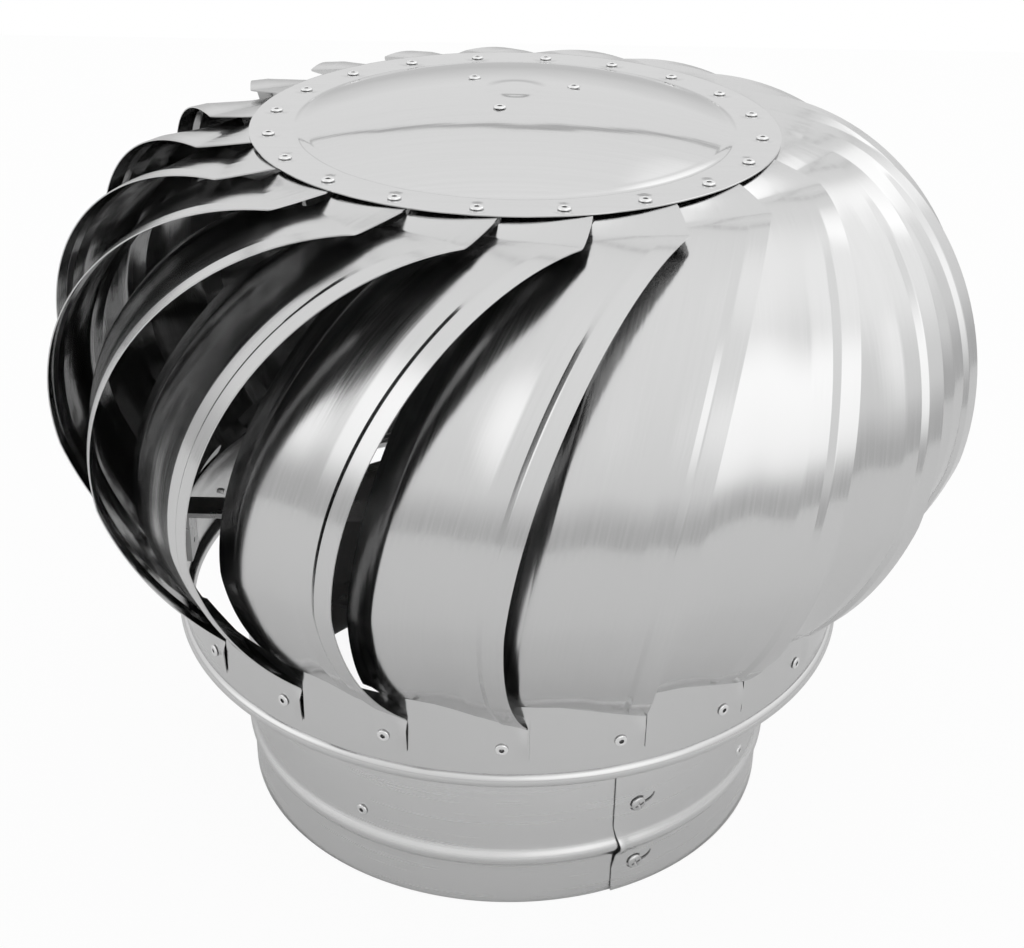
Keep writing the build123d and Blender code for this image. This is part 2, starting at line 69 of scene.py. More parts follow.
tail_half_width, tail_taper = 1.3, 0.8
tail_steps = 8
keyhole_floor = 0.15           # the keyholes are cut in the outer end alone, above this
keyhole_cutter = 8.0
plain_rows = (8, 16, 44, 52, 60, 75, 90, 105)
edge_row = 0.25
swage_rows = 9                 # on each side of the swage's centre
curl_columns = 8
collar_wall_columns = 300


def place(radius, angle, height):
    """A point, in metres, from its distance to the spin axis, angle from the front, and height."""
    turn = radians(angle)
    return Vector((radius * sin(turn), -radius * cos(turn), height)) * MM


def ramp(value, start, end):
    """0 at start, 1 at end, and a straight line between them."""
    return min(1.0, max(0.0, (value - start) / (end - start)))


def smooth(value, start, end):
    """0 at start, 1 at end, and an even s-curve between them."""
    share = ramp(value, start, end)
    return share * share * (3 - 2 * share)


def new_piece(name, points, faces, flat=False):
    """A mesh object at the origin, with its place in its points."""
    mesh = bpy.data.meshes.new(name)
    mesh.from_pydata([tuple(p) for p in points], [], faces)
    if not flat:
        for polygon in mesh.polygons:
            polygon.use_smooth = True
    piece = bpy.data.objects.new(name, mesh)
    bpy.context.scene.collection.objects.link(piece)
    return piece


def grid_faces(columns, rows, start=0):
    """Quads of a grid whose points are listed row by row."""
    return [(start + r * columns + c, start + r * columns + c + 1,
             start + (r + 1) * columns + c + 1, start + (r + 1) * columns + c)
            for r in range(rows - 1) for c in range(columns - 1)]


def baked(piece):
    """Turns a piece's modifiers into its plain mesh."""
    bpy.context.view_layer.update()
    graph = bpy.context.evaluated_depsgraph_get()
    mesh = bpy.data.meshes.new_from_object(piece.evaluated_get(graph), depsgraph=graph)
    piece.modifiers.clear()
    piece.data = mesh
    return piece


def face_outwards(piece):
    """Merges doubles and turns every face of a closed piece to the outside."""
    work = bmesh.new()
    work.from_mesh(piece.data)
    bmesh.ops.remove_doubles(work, verts=work.verts, dist=1e-6)
    bmesh.ops.recalc_face_normals(work, faces=work.faces)
    work.to_mesh(piece.data)
    work.free()
    return piece


def sharpen(piece, angle):
    """Marks the edges that are sharper than an angle in degrees, so that only the rest look
    smooth."""
    work = bmesh.new()
    work.from_mesh(piece.data)
    for edge in work.edges:
        edge.smooth = len(edge.link_faces) == 2 and edge.calc_face_angle(0) < radians(angle)
    work.to_mesh(piece.data)
    work.free()
    for polygon in piece.data.polygons:
        polygon.use_smooth = True
    return piece


def cut(piece, cutters):
    """Takes the cutters' shapes out of a piece, and deletes the cutters."""
    for cutter in cutters:
        modifier = piece.modifiers.new("cut", "BOOLEAN")
        modifier.operation = "DIFFERENCE"
        modifier.solver = "EXACT"
        modifier.object = cutter
    baked(piece)
    for cutter in cutters:
        bpy.data.objects.remove(cutter)
    return piece


def prism(name, outline, near, far, angle, height):
    """A prism that points at the axis: its outline is (sideways, up) in mm, across the radius."""
    count = len(outline)
    points = []
    for radius in (near, far):
        for side, up in outline:
            turn = angle + degrees(side / collar_outer)
            points.append(place(radius, turn, height + up))
    faces = [tuple(range(count)), tuple(range(2 * count - 1, count - 1, -1))]
    faces += [(i, i + count, (i + 1) % count + count, (i + 1) % count) for i in range(count)]
    piece = new_piece(name, points, faces, flat=True)
    return face_outwards(piece)


def steel(name, base, roughness, grain, grain_depth, wave_size=0.0, wave_depth=0.0,
          roughness_spread=0.06, by_uv=False):
    """Bare metal sheet: rolling grain that breaks up the gloss, and slow waves from handling.
    The grain is repeats per metre along each axis, and the waves are in millimetres."""
    tone_spread = 0.035
    noise_low, noise_high = 0.3, 0.7       # the noise hardly leaves this band
    dark, light = base * (1 - tone_spread), min(1, base * (1 + tone_spread))
    material = bpy.data.materials.new(name)
    material.use_nodes = True
    nodes, links = material.node_tree.nodes, material.node_tree.links
    shader = nodes["Principled BSDF"]
    shader.inputs["Metallic"].default_value = 1.0
    place_on = nodes.new("ShaderNodeTexCoord")
    mapping = nodes.new("ShaderNodeMapping")
    mapping.inputs["Scale"].default_value = grain
    links.new(place_on.outputs["UV" if by_uv else "Object"], mapping.inputs["Vector"])
    fine = nodes.new("ShaderNodeTexNoise")
    fine.inputs["Scale"].default_value = 1.0
    fine.inputs["Detail"].default_value = 4.0
    links.new(mapping.outputs["Vector"], fine.inputs["Vector"])
    gloss = nodes.new("ShaderNodeMapRange")
    gloss.inputs["From Min"].default_value = noise_low
    gloss.inputs["From Max"].default_value = noise_high
    gloss.inputs["To Min"].default_value = roughness - roughness_spread
    gloss.inputs["To Max"].default_value = roughness + roughness_spread
    links.new(fine.outputs["Fac"], gloss.inputs["Value"])
    links.new(gloss.outputs["Result"], shader.inputs["Roughness"])
    tone = nodes.new("ShaderNodeMix")
    tone.data_type = "RGBA"
    tone.inputs["A"].default_value = (dark, dark, dark, 1)
    tone.inputs["B"].default_value = (light, light, light, 1)
    links.new(fine.outputs["Fac"], tone.inputs["Factor"])
    links.new(tone.outputs["Result"], shader.inputs["Base Color"])
    scratch = nodes.new("ShaderNodeBump")
    scratch.inputs["Strength"].default_value = grain_depth
    scratch.inputs["Distance"].default_value = MM
    links.new(fine.outputs["Fac"], scratch.inputs["Height"])
    last = scratch
    if wave_depth:
        slow = nodes.new("ShaderNodeTexNoise")
        slow.inputs["Scale"].default_value = 1 / (wave_size * MM)
        slow.inputs["Detail"].default_value = 2.0
        links.new(place_on.outputs["Object"], slow.inputs["Vector"])
        wave = nodes.new("ShaderNodeBump")
        wave.inputs["Strength"].default_value = 1.0
        wave.inputs["Distance"].default_value = wave_depth * MM
        links.new(slow.outputs["Fac"], wave.inputs["Height"])
        links.new(scratch.outputs["Normal"], wave.inputs["Normal"])
        last = wave
    links.new(last.outputs["Normal"], shader.inputs["Normal"])
    return material


def swage_bulge(height):
    """How far the swage stands out at a height."""
    reach = abs(height - swage_height) / swage_half_width
    return swage_depth * (0.5 + 0.5 * cos(pi * reach)) if reach < 1 else 0.0


def collar_wall(angle, height):
    """Angle and outside radius of the collar sheet, with the lap's lift and sprung free edge."""
    near_edge = 1 - smooth(angle, lap_start, lap_start + curl_width)
    at_swage = 1 - smooth(abs(height - swage_height), 0, curl_reach)
    lift = lap_lift * (1 - smooth(angle, lap_start, lap_closed))
    lift += curl_lift * near_edge * at_swage
    return angle + curl_step_back * near_edge * at_swage, collar_outer + swage_bulge(height) + lift


def collar_rows():
    """Heights of the collar's rows: close together over the swage and at both edges."""
    rows = [0, edge_row, *plain_rows, collar_height - edge_row, collar_height]
    rows += [swage_height + swage_half_width * step / swage_rows
             for step in range(-swage_rows, swage_rows + 1)]
    return sorted(rows)


def collar_columns():
    """Angles of the collar's columns: close together at the free edge."""
    edge = [lap_start + curl_width * step / curl_columns for step in range(curl_columns)]
    rest = 360 + lap_end - lap_start - curl_width
    return edge + [lap_start + curl_width + rest * step / collar_wall_columns
                   for step in range(collar_wall_columns + 1)]


def keyhole_outline():
    """The keyhole's round end and its hooked tail, as (sideways, up)."""
    turns = [radians(turn) for turn in range(50, 371, 20)]
    eye = [(keyhole_eye * cos(turn), keyhole_eye * sin(turn)) for turn in turns]
    beyond, between = keyhole_mouth
    outline = [p for p in eye if not (p[0] > beyond and abs(p[1]) < between)]
    lower, upper = [], []
    for step in range(tail_steps + 1):
        share = step / tail_steps
        turn = radians(tail_sweep * share)
        middle = (tail_start[0] + tail_reach * sin(turn),
                  tail_start[1] + tail_hook * (1 - cos(turn)))
        across = (-tail_hook * sin(turn), tail_reach * cos(turn))
        half = (tail_half_width - tail_taper * share) / hypot(*across)
        lower.append((middle[0] - across[0] * half, middle[1] - across[1] * half))
        upper.insert(0, (middle[0] + across[0] * half, middle[1] + across[1] * half))
    return outline + lower + upper


collar_points = []
angles, heights = collar_columns(), collar_rows()
for depth in (0.0, collar_sheet):
    for height in heights:
        edge = collar_ease if height in (heights[0], heights[-1]) else 0.0
        for angle in angles:
            turn, radius = collar_wall(angle, height)
            inset = depth + (edge if depth == 0 else -edge)
            collar_points.append(place(radius - inset, turn, height))
columns, rows = len(angles), len(heights)
collar_faces = grid_faces(columns, rows)
inside = columns * rows
collar_faces += [face[::-1] for face in grid_faces(columns, rows, inside)]
for c in range(columns - 1):
    top = (rows - 1) * columns + c
    collar_faces.append((top, top + 1, top + 1 + inside, top + inside))
    collar_faces.append((c + 1, c, c + inside, c + 1 + inside))
for r in range(rows - 1):
    low, high = r * columns, (r + 1) * columns
    collar_faces.append((low, high, high + inside, low + inside))
    low, high = low + columns - 1, high + columns - 1
    collar_faces.append((high, low, low + inside, high + inside))
collar = face_outwards(new_piece("neck_collar_sheet", collar_points, collar_faces))

keyholes = [prism("keyhole", keyhole_outline(), collar_outer + keyhole_floor,
                  collar_outer + keyhole_cutter, keyhole_angle, height)
            for height in keyhole_heights]
cut(collar, keyholes)
sharpen(collar, 40)

collar_steel = steel("satin_collar_sheet", 0.72, 0.24, grain=(9, 9, 500), grain_depth=0.012,
                     wave_size=45, wave_depth=0.5, roughness_spread=0.05)
collar.data.materials.append(collar_steel)
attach(collar, "base")
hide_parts("neck_collar")


# ---- lap screws ----------------------------------------------------------------------------------
# Two zinc-plated M4 pan-head screws with cross recesses.  They pass through the keyholes and bite
# in the lap's inner end.

screw_head = 8.2
screw_rise = 1.9
screw_skirt = 0.3              # share of the head's rise below its dome
screw_ease = 0.2               # at the head's lower rim
screw_shank = 3.9
screw_point = 0.3              # chamfer at the shank's end
screw_seat = 152.25            # radius where the head sits on the lap
screw_tip = 150.15
screw_dome_steps = 8
screw_facets = 36
recess_depth = 1.4
recess_length = 5.2
recess_width = 1.2
recess_turns = (20, 110)       # degrees


def lathe(name, outline, segments, on_axis=False):
    """A solid of revolution about Z from (radius, height) corners in mm.  The outline closes on
    itself, unless its first and last corners are on the axis."""
    points, faces = [], []
    count = len(outline)
    for s in range(segments):
        for radius, height in outline:
            points.append(place(radius, 360 * s / segments, height))
    for s in range(segments):
        after = (s + 1) % segments
        for i in range(count - 1 if on_axis else count):
            j = (i + 1) % count
            faces.append((s * count + i, after * count + i, after * count + j, s * count + j))
    return face_outwards(new_piece(name, points, faces))


def lie_on_front(piece, radius, height):
    """Lays a piece that points up +Z on the front of an upright wall, facing outwards."""
    turn = Matrix.Translation((0, -radius * MM, height * MM)) @ Matrix.Rotation(pi / 2, 4, "X")
    piece.data.transform(turn)
    return piece


def box_piece(name, half_x, half_y, low, high, twist=0.0):
    """A plain block about Z, in mm, turned by a twist in degrees."""
    corners = [Vector((x, y, z)) for z in (low, high) for x, y in
               ((-half_x, -half_y), (half_x, -half_y), (half_x, half_y), (-half_x, half_y))]
    turn = Matrix.Rotation(radians(twist), 3, "Z")
    faces = [(3, 2, 1, 0), (4, 5, 6, 7), (0, 1, 5, 4), (1, 2, 6, 5), (2, 3, 7, 6), (3, 0, 4, 7)]
    return new_piece(name, [turn @ c * MM for c in corners], faces, flat=True)


def round_copies(name, master, count, first, step, material, rise_first=0.0, rise=0.0, back=None):
    """Copies a piece round the spin axis with Geometry Nodes and makes the copies one plain mesh.
    Faces that the piece marks as its back get the back's material.  Angles are in degrees."""
    tree = bpy.data.node_groups.new(name, "GeometryNodeTree")
    tree.is_modifier = True
    face = tree.interface
    face.new_socket("Geometry", in_out="INPUT", socket_type="NodeSocketGeometry")
    settings = {
        "Count": ("NodeSocketInt", count),
        "First Angle": ("NodeSocketFloat", radians(first)),
        "Step Angle": ("NodeSocketFloat", radians(step)),
        "First Height": ("NodeSocketFloat", rise_first * MM),
        "Height Step": ("NodeSocketFloat", rise * MM),
    }
    for label, (kind, _) in settings.items():
        face.new_socket(label, in_out="INPUT", socket_type=kind)
    face.new_socket("Geometry", in_out="OUTPUT", socket_type="NodeSocketGeometry")
    nodes, links = tree.nodes, tree.links
    given, result = nodes.new("NodeGroupInput"), nodes.new("NodeGroupOutput")
    index = nodes.new("GeometryNodeInputIndex")

    def for_each(step_label, first_label):
        """The copy's number times a step, and the first copy's value on top."""
        total = nodes.new("ShaderNodeMath")
        total.operation = "MULTIPLY_ADD"
        links.new(index.outputs[0], total.inputs[0])
        links.new(given.outputs[step_label], total.inputs[1])
        links.new(given.outputs[first_label], total.inputs[2])
        return total.outputs[0]

    line = nodes.new("GeometryNodeMeshLine")
    links.new(given.outputs["Count"], line.inputs["Count"])
    line.inputs["Offset"].default_value = (0, 0, 0)
    lift = nodes.new("ShaderNodeCombineXYZ")
    links.new(for_each("Height Step", "First Height"), lift.inputs["Z"])
    moved = nodes.new("GeometryNodeSetPosition")
    links.new(line.outputs["Mesh"], moved.inputs["Geometry"])
    links.new(lift.outputs[0], moved.inputs["Position"])
    turn = nodes.new("ShaderNodeCombineXYZ")
    links.new(for_each("Step Angle", "First Angle"), turn.inputs["Z"])
    copies = nodes.new("GeometryNodeInstanceOnPoints")
    links.new(moved.outputs["Geometry"], copies.inputs["Points"])
    links.new(given.outputs["Geometry"], copies.inputs["Instance"])
    links.new(turn.outputs[0], copies.inputs["Rotation"])
    real = nodes.new("GeometryNodeRealizeInstances")
    links.new(copies.outputs["Instances"], real.inputs["Geometry"])
    finish = nodes.new("GeometryNodeSetMaterial")
    finish.inputs["Material"].default_value = material
    links.new(real.outputs["Geometry"], finish.inputs["Geometry"])
    if back:
        marked = nodes.new("GeometryNodeInputNamedAttribute")
        marked.data_type = "BOOLEAN"
        marked.inputs["Name"].default_value = "back"
        front, finish = finish, nodes.new("GeometryNodeSetMaterial")
        finish.inputs["Material"].default_value = back
        links.new(front.outputs["Geometry"], finish.inputs["Geometry"])
        links.new(marked.outputs["Attribute"], finish.inputs["Selection"])
    links.new(finish.outputs["Geometry"], result.inputs["Geometry"])
    modifier = master.modifiers.new("copies", "NODES")
    modifier.node_group = tree
    for socket in face.items_tree:
        if socket.in_out == "INPUT" and socket.name in settings:
            modifier[socket.identifier] = settings[socket.name][1]
    baked(master)
    master.name = name
    return master


screw_outline = [(0, screw_rise)]
for step in range(1, screw_dome_steps + 1):
    turn = radians(90 * step / screw_dome_steps)
    screw_outline.append((screw_head / 2 * sin(turn) ** 0.8,
                          screw_rise * (screw_skirt + (1 - screw_skirt) * cos(turn))))
screw_end = screw_tip - screw_seat
screw_outline += [(screw_head / 2, screw_ease / 2), (screw_head / 2 - screw_ease, 0),
                  (screw_shank / 2, 0), (screw_shank / 2, screw_end + screw_point),
                  (screw_shank / 2 - screw_point, screw_end), (0, screw_end)]
screw = lathe("lap_screw", screw_outline, screw_facets, on_axis=True)
recesses = [box_piece("recess", recess_length / 2, recess_width / 2,
                      screw_rise - recess_depth, screw_rise + 1, turn) for turn in recess_turns]
cut(screw, recesses)
sharpen(screw, 35)
lie_on_front(screw, screw_seat, 0)
screw_steel = steel("zinc_plate", 0.62, 0.2, grain=(700, 700, 700), grain_depth=0.08)
lap_screws = round_copies("lap_screws", screw, len(keyhole_heights), keyhole_angle, 0, screw_steel,
                          rise_first=keyhole_heights[0],
                          rise=keyhole_heights[1] - keyhole_heights[0])
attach(lap_screws, "base")
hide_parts("seam_screws")


# ---- fixed cross bracket, its rivets and the shaft's hardware ------------------------------------
# A folded cross of flat bar is riveted inside the collar and carries the 10 mm shaft with its nuts,
# set collars and two sealed bearings.  The plain turned and folded shapes keep the CAD meshes.

rivet_head = 6.6
rivet_rise = 1.25
rivet_bore = 1.2               # radius of the eye that the pin snapped off in
rivet_pin_depth = 0.6
rivet_lip = ((0, 0.8), (0.1, 0.93), (0.3, 1.0))    # out from the bore, and share of the rise
rivet_dome_start = 0.35
rivet_skirt = 0.28             # share of the rise below the dome
rivet_dome_steps = 6
rivet_rim = ((0.1, 0.22), (0.45, 0))   # in from the head's rim, and height
rivet_shank = 3.2
rivet_tail = 2.5
rivet_swell = (0.2, 0.5)       # of the tail: outwards, and below the sheets
rivet_nose = (0.4, 0.3)        # inwards, and above the tail's end
rivet_facets = 24
bracket_rivet_count = 4
bracket_rivet_first = -30.0
bracket_rivet_height = 45.7
bracket_rivet_seat = 150.95
bracket_rivet_grip = 4.0


def dress(node, material):
    """Gives a CAD node that keeps its own mesh its finish."""
    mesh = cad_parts[node].data
    mesh.materials.clear()
    mesh.materials.append(material)


def rivet(name, grip):
    """A blind rivet that points up: domed rim, eye with the snapped pin, shank and swollen tail."""
    outline = [(0, -rivet_pin_depth), (rivet_bore, -rivet_pin_depth)]
    outline += [(rivet_bore + out, rivet_rise * share) for out, share in rivet_lip]
    dome_foot = rivet_bore + rivet_dome_start
    for step in range(1, rivet_dome_steps + 1):
        turn = radians(90 * step / rivet_dome_steps)
        outline.append((dome_foot + (rivet_head / 2 - dome_foot) * sin(turn) ** 0.9,
                        rivet_rise * (rivet_skirt + (1 - rivet_skirt) * cos(turn) ** 0.8)))
    outline += [(rivet_head / 2 - inwards, height) for inwards, height in rivet_rim]
    shank, end = rivet_shank / 2, -grip - rivet_tail
    outline += [(shank, 0), (shank, -grip), (shank + rivet_swell[0], -grip - rivet_swell[1]),
                (shank, end + rivet_nose[1]), (shank - rivet_nose[0], end), (0, end)]
    piece = sharpen(lathe(name, outline, rivet_facets, on_axis=True), 50)
    # The eye's wall and the snapped pin's end are marked for a near-black material, which paints
    # the shade in the rivet's hole.
    mark = piece.data.attributes.new("back", "BOOLEAN", "FACE")
    for polygon in piece.data.polygons:
        spots = [piece.data.vertices[v].co / MM for v in polygon.vertices]
        mark.data[polygon.index].value = all(
            hypot(p.x, p.y) < rivet_bore + 0.01 and p.z > -rivet_pin_depth - 0.01 for p in spots)
    return piece


bracket_steel = steel("bracket_bar", 0.5, 0.3, grain=(60, 60, 60), grain_depth=0.1,
                      wave_size=20, wave_depth=0.2)
turned_steel = steel("ground_steel", 0.55, 0.18, grain=(40, 40, 2500), grain_depth=0.1)
race_steel = steel("bearing_race", 0.55, 0.1, grain=(40, 40, 3000), grain_depth=0.05)
rivet_metal = steel("rivet_aluminium", 0.8, 0.22, grain=(900, 900, 900), grain_depth=0.12)
# The pin's end is really steel. Its near-black tone, which the eye's wall gets too, is painted
# shade in the hole.
pin_painted_shade = steel("snapped_pin_painted_shade", 0.12, 0.4, grain=(900, 900, 900), grain_depth=0.12)
seal_rubber = steel("moulded_rubber", 0.03, 0.55, grain=(500, 500, 500), grain_depth=0.05)
seal_rubber.node_tree.nodes["Principled BSDF"].inputs["Metallic"].default_value = 0.0
dress("cross_bracket", bracket_steel)
dress("shaft", turned_steel)
for fastener in ("shaft_nuts", "shaft_collars"):
    dress(fastener, screw_steel)
for races in ("bearing_inner_races", "bearing_outer_races"):
    dress(races, race_steel)
dress("bearing_seals", seal_rubber)

bracket_rivet = lie_on_front(rivet("bracket_rivet", bracket_rivet_grip), bracket_rivet_seat, 0)
bracket_heads = round_copies("bracket_rivet_heads", bracket_rivet, bracket_rivet_count,
                             bracket_rivet_first, 360 / bracket_rivet_count, rivet_metal,
                             rise_first=bracket_rivet_height, back=pin_painted_shade)
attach(bracket_heads, "base")
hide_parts("bracket_rivets")


# ---- rotor spider and bearing housings -----------------------------------------------------------
# The turning head hangs on a flanged cup under the cap and is steadied by a second bearing in the
# hub of a four-armed spider, which is riveted inside the lower ring.

for housing in ("upper_bearing_housing", "lower_bearing_housing"):
    dress(housing, turned_steel)
dress("rotor_spider", bracket_steel)


# ---- lower ring ----------------------------------------------------------------------------------
# An upright ring of satin sheet whose lower edge is rolled outwards round a wire.  The blades' feet
# are riveted round it.

ring_outer = 185.2
ring_sheet = 0.8
ring_top = 155.0
ring_ease = (0.15, 0.2)        # of the top edge: across the sheet, and down
ring_row = 13.3
ring_inner_rows = (117, 130)
roll_radius = 4.2              # of the edge that is rolled round the wire
roll_centre_radius = 183.55
roll_centre_height = 111.3
roll_lead_in = 1.2
roll_end = 350.0               # degrees, where the rolled edge nearly meets the wall again
roll_steps = 30
ring_facets = 288

ring_outline = [(ring_outer - ring_ease[0], ring_top), (ring_outer, ring_top - ring_ease[1])]
ring_outline += [(ring_outer, ring_top - ring_row * step) for step in (1, 2)]
leave = degrees(asin((ring_outer - roll_centre_radius) / roll_radius))
roll_start_height = roll_centre_height + roll_radius * cos(radians(leave))
ring_outline.append((ring_outer, roll_start_height + roll_lead_in))
for step in range(roll_steps + 1):
    turn = radians(leave + (roll_end - leave) * step / roll_steps)
    ring_outline.append((roll_centre_radius + roll_radius * sin(turn),
                         roll_centre_height + roll_radius * cos(turn)))
ring_inner = ring_outer - ring_sheet
ring_outline += [(ring_inner, height) for height in ring_inner_rows]
ring_outline += [(ring_inner, ring_top - ring_ease[1]), (ring_inner + ring_ease[0], ring_top)]
ring = sharpen(lathe("lower_ring_sheet", ring_outline, ring_facets), 50)
ring_steel = steel("satin_ring_sheet", 0.64, 0.22, grain=(9, 9, 500), grain_depth=0.012,
                   wave_size=40, wave_depth=0.35)
ring.data.materials.append(ring_steel)
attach(ring, "rotor")
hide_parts("lower_ring")


# ---- louvre blades -------------------------------------------------------------------------------
# Twenty strips of bright stainless sheet.  Each has a flat hem along both long edges and a pressed
# line beside the leading one, is rolled like a barrel stave, bent under the cap and riveted round
# the ring.

blade_count = 20
blade_pitch = 360 / blade_count
blade_sheet = 0.6
head_radius = 242.1
head_equator = 245.2
strip_width = 76.5
hem = 9.0
hem_rise = 1.35                # the leading hem rises towards the panel by this much
joggle_start, joggle_end, joggle_out = 9.4, 12.6, 22.0
joggle_depth = 1.1             # a pressed line beside the hem, sharp on its outer side
panel_end = 63.2               # beyond this the panel steps down to the trailing hem
panel_step = 3.6
trailing_rise = 0.8
panel_curl = 3.0               # the panel curls out a little towards its trailing side
curl_start = 30.0
curl_fade = (0.0, 35.0)
azimuth = radians(62.8)
dip = radians(7.4)
top_dip_share = 0.25           # the dip starts shallower under the cap
dip_length = 135.0
lean = radians(9.04)
upper_roll = 126.0             # radius of the roll above the crease
upper_roll_height = 249.5      # of that roll's centre
roll_top_angle = 95.0
crease_height = 232.0
crease_turn = 6.0
crease_width = 5.0
lower_roll = 177.0             # radius of the roll below the crease
lower_roll_turn = 44.0         # degrees, more than the strip needs to meet the ring
corner_reach = 89.5            # where the leading edge is bent up to the cap
waist_reach, waist_inset = 17.0, 42.0
shoulder_reach = 76.0
fold_radius = 185.95
foot_bottom = 123.5
foot_start, foot_end = 3.2, -14.4              # degrees
cap_tab_right, cap_tab_left = 33.0, 15.4       # degrees
cap_rim = 133.0
cap_tab_inner = 113.0
cap_tab_height = 380.05
cap_tab_row = 9.0              # of points between the rim and the tab's inner end
bend_softness = 0.22           # how much of the bend's length follows the strip and the cap
heel = 9.5                     # the hems' and panel's relief ends over this length at the fold
heel_start = 14.0              # the strip's even rows end here, above the fold
heel_rows = (11.5, 10.0, 9.4, 8.6, 6.0, 3.0, 1.0, 0.3, 0.0)    # and these follow
foot_settle = 0.3              # share of the foot in which it turns to its place on the ring
foot_spring = 1.6              # the foot's free edge stands off the ring by this much
spring_width = 9.0
spring_ease = 0.7              # share of the spring that is gone at the foot's lower end
rim_drop = 2.2                 # the blades' tops leave a narrow gap under the cap's rim
hem_fade = (0.0, 40.0)         # from the top corner down, where the hem lifts
joggle_fade = (42.0, 80.0)     # and where the pressed line starts
foot_grain = (330.0, 30.0)     # where the foot and the top lie along the sheet's grain
top_grain = -20.0
profile_step = 0.5
# Across the strip, each column's distance from the leading edge.
insets = [0, 0.3, 3, 6, 8.6, 9.0, 9.4, 9.8, 12.1, 12.6, 13.2, 14.5, 16.5, 19, 21, 22, 23, 27, 33,
          38, 42, 47, 53, 58, 61.5, 62.8, 63.6, 66.4, 67.2, 71.5, 76.2, 76.5]
strip_rows = 54
foot_rows = (0.0, 0.03, 0.12, 0.3, 0.6, 0.97, 1.0)
top_shares = (0.0, 0.12, 0.25, 0.4, 0.55, 0.7, 0.85, 0.96, 1.0)

edge_offset = head_radius * cos(azimuth)
centre_reach = (head_radius - edge_offset * cos(azimuth)) / sin(azimuth) - upper_roll


def roll_line():
    """The roll's profile: reach, height and slope every half millimetre from its top down."""
    crease = -degrees(asin((upper_roll_height - crease_height) / upper_roll))
    upper_length = upper_roll * radians(roll_top_angle - crease)
    reach = centre_reach + upper_roll * cos(radians(roll_top_angle))
    height = upper_roll_height + upper_roll * sin(radians(roll_top_angle))
    line = []
    steps = int((upper_length + lower_roll * radians(lower_roll_turn)) / profile_step)
    for step in range(steps):
        length = step * profile_step
        upper = roll_top_angle - degrees(min(length, upper_length) / upper_roll)
        lower = degrees(max(0.0, length - upper_length) / lower_roll)
        turn = crease_turn * smooth(length, upper_length - crease_width / 2,
                                    upper_length + crease_width / 2)
        slope = radians(upper - turn - lower)
        line.append((reach, height, slope))
        reach += sin(slope) * profile_step
        height -= cos(slope) * profile_step
    return line


profile = roll_line()


def blade_point(step, inset, depth):
    """A point of the strip, in metres, from its place on the profile, its distance from the
    leading edge and its depth below the plain roll."""
    index = min(len(profile) - 1.001, max(0.0, step))
    near = profile[int(index)]
    far = profile[int(index) + 1]
    share = index - int(index)
    reach = near[0] + (far[0] - near[0]) * share
    height = near[1] + (far[1] - near[1]) * share
    slope = near[2] + (far[2] - near[2]) * share
    reach -= depth * cos(slope)
    height -= depth * sin(slope)
    along = edge_offset + (height - head_equator) * tan(lean) - inset
    dip_share = top_dip_share + (1 - top_dip_share) * smooth(step * profile_step, 0, dip_length)
    return Vector((-reach * cos(azimuth) + along * sin(azimuth),
                   -reach * sin(azimuth) - along * cos(azimuth),
                   height - inset * tan(dip) * dip_share)) * MM


def trim_reach(inset):
    """Where the strip's top is cut off: a line from the corner to the waist, then the shoulder."""
    if inset < waist_inset:
        return corner_reach + waist_reach * inset / waist_inset
    share = (inset - waist_inset) / (strip_width - waist_inset)
    return corner_reach + waist_reach + (shoulder_reach - waist_reach) * share


def step_at_reach(reach):
    """First place on the profile that reaches this far."""
    return next(i for i, (r, _, _) in enumerate(profile) if r >= reach)


def step_at_ring(inset):
    """Last place on the profile before the strip passes inside the foot's radius."""
    low, high = len(profile) // 2, len(profile) - 2
    for _ in range(30):
        middle = (low + high) / 2
        spot = blade_point(middle, inset, 0)
        if hypot(spot.x, spot.y) / MM > fold_radius:
            low = middle
        else:
            high = middle
    return low


def panel_rise(inset, from_top, from_foot):
    """How far the sheet stands out from the plain roll."""
    rise = hem_rise * min(1.0, inset / hem) * smooth(from_top, *hem_fade)
    pressed = ramp(inset, joggle_start, joggle_end) * ramp(inset, joggle_out, joggle_end)
    rise -= joggle_depth * pressed * smooth(from_top, *joggle_fade)
    lowered = ramp(inset, panel_end, panel_end + panel_step)
    sloped = ramp(inset, panel_end + panel_step, strip_width)
    rise -= (hem_rise - trailing_rise * (1 - sloped)) * lowered * smooth(from_top, *hem_fade)
    rise += panel_curl * smooth(inset, curl_start, panel_end) * smooth(from_top, *curl_fade)
    return rise * min(1.0, from_foot / heel)


